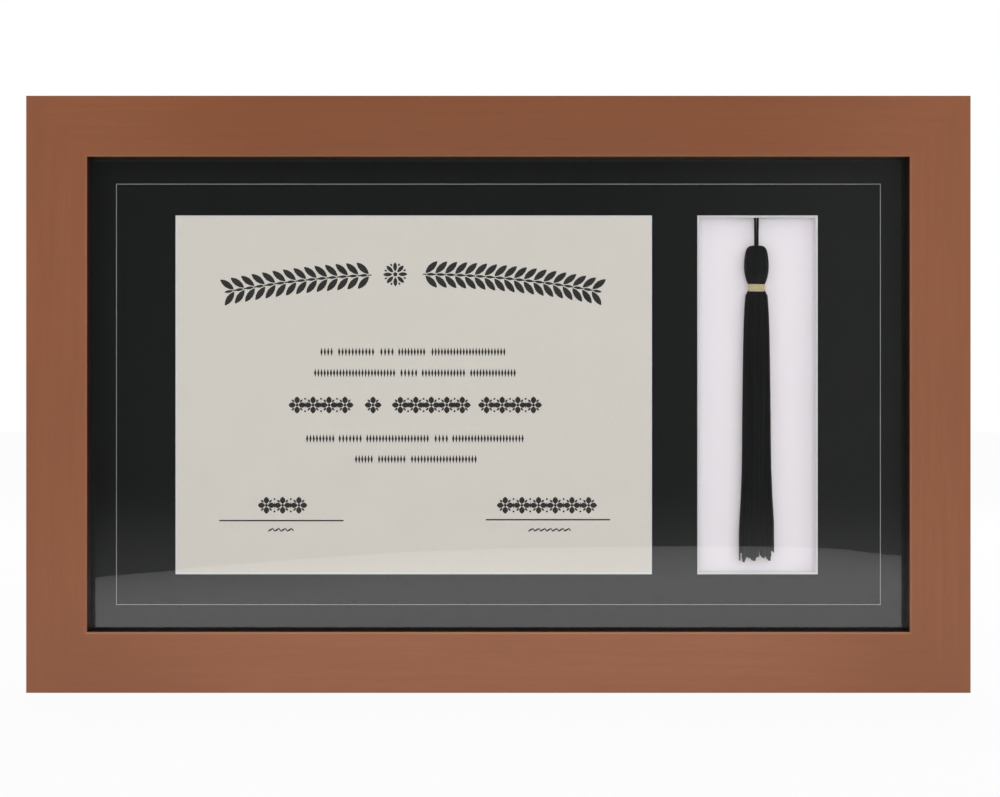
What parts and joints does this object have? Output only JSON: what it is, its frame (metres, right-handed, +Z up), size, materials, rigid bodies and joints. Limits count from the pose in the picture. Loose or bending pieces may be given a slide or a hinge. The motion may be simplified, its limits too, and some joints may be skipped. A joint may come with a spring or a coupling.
{
  "type": "certificate frame",
  "caption": "Landscape wall frame with a flat brown moulding, a black bevelled mat, a window for a certificate and a second, deeper window where a tassel hangs.",
  "frame": {"origin": "centre of the bottom edge, halfway through the depth of the moulding", "axes": "+X to the viewer's right, -Y towards the viewer in front of the glass, +Z up"},
  "size_m": [0.529, 0.0322, 0.3345],
  "materials": {
    "stained_wood": "brown stain under a satin lacquer",
    "clear_glass": "polished",
    "black_mat": "black paper face with a white core",
    "certificate_paper": null,
    "foam_board": "white paper over foam",
    "white_card": "smooth white card",
    "hardboard": "bare brown hardboard",
    "zinc_steel": "bright zinc plate",
    "peg_nylon": "moulded natural nylon",
    "black_yarn": "lustrous black rayon yarn",
    "gold_thread": "metallic gold thread",
    "clear_bumper": "translucent soft polyurethane"
  },
  "bodies": {
    "frame": {"rail_top": "stained_wood", "rail_bottom": "stained_wood", "rail_left": "stained_wood", "rail_right": "stained_wood", "v_nails": "zinc_steel", "glass_pane": "clear_glass", "mat_board": "black_mat", "certificate_sheet": "certificate_paper", "spacer_board": "foam_board", "mount_card": "white_card", "back_board": "hardboard", "tassel_peg": "peg_nylon", "turn_button_screws": "zinc_steel", "hanger_screws": "zinc_steel", "hanger_strap_left": "zinc_steel", "hanger_strap_right": "zinc_steel", "wall_bumpers": "clear_bumper"},
    "tassel": {"tassel_cord": "black_yarn", "tassel_head": "black_yarn", "tassel_band": "gold_thread", "tassel_skirt": "black_yarn"},
    "turn_button_top_left": {"turn_button_top_left": "zinc_steel"},
    "turn_button_top_middle": {"turn_button_top_middle": "zinc_steel"},
    "turn_button_top_right": {"turn_button_top_right": "zinc_steel"},
    "turn_button_bottom_left": {"turn_button_bottom_left": "zinc_steel"},
    "turn_button_bottom_middle": {"turn_button_bottom_middle": "zinc_steel"},
    "turn_button_bottom_right": {"turn_button_bottom_right": "zinc_steel"},
    "turn_button_side_left": {"turn_button_side_left": "zinc_steel"},
    "turn_button_side_right": {"turn_button_side_right": "zinc_steel"},
    "hanger_ring_left": {"hanger_ring_left": "zinc_steel"},
    "hanger_ring_right": {"hanger_ring_right": "zinc_steel"}
  },
  "joints": [
    {"name": "tassel_swing", "type": "hinge", "parent": "frame", "child": "tassel", "pos_m": [0.14675, 0.00425, 0.29065], "axis": [0, 1, 0], "range_deg": [-5.5, 5.5]},
    {"name": "turn_button_top_left_turn", "type": "hinge", "parent": "frame", "child": "turn_button_top_left", "pos_m": [-0.17, 0.01365, 0.3153], "axis": [0, 1, 0], "continuous": true},
    {"name": "turn_button_top_middle_turn", "type": "hinge", "parent": "frame", "child": "turn_button_top_middle", "pos_m": [0, 0.01365, 0.3153], "axis": [0, 1, 0], "continuous": true},
    {"name": "turn_button_top_right_turn", "type": "hinge", "parent": "frame", "child": "turn_button_top_right", "pos_m": [0.17, 0.01365, 0.3153], "axis": [0, 1, 0], "continuous": true},
    {"name": "turn_button_bottom_left_turn", "type": "hinge", "parent": "frame", "child": "turn_button_bottom_left", "pos_m": [-0.17, 0.01365, 0.0192], "axis": [0, 1, 0], "continuous": true},
    {"name": "turn_button_bottom_middle_turn", "type": "hinge", "parent": "frame", "child": "turn_button_bottom_middle", "pos_m": [0, 0.01365, 0.0192], "axis": [0, 1, 0], "continuous": true},
    {"name": "turn_button_bottom_right_turn", "type": "hinge", "parent": "frame", "child": "turn_button_bottom_right", "pos_m": [0.17, 0.01365, 0.0192], "axis": [0, 1, 0], "continuous": true},
    {"name": "turn_button_side_left_turn", "type": "hinge", "parent": "frame", "child": "turn_button_side_left", "pos_m": [-0.2453, 0.01365, 0.16725], "axis": [0, 1, 0], "continuous": true},
    {"name": "turn_button_side_right_turn", "type": "hinge", "parent": "frame", "child": "turn_button_side_right", "pos_m": [0.2453, 0.01365, 0.16725], "axis": [0, 1, 0], "continuous": true},
    {"name": "hanger_ring_left_swing", "type": "hinge", "parent": "frame", "child": "hanger_ring_left", "pos_m": [-0.2504, 0.0159, 0.2625], "axis": [1, 0, 0], "range_deg": [0, 175]},
    {"name": "hanger_ring_right_swing", "type": "hinge", "parent": "frame", "child": "hanger_ring_right", "pos_m": [0.2504, 0.0159, 0.2625], "axis": [1, 0, 0], "range_deg": [0, 175]}
  ]
}
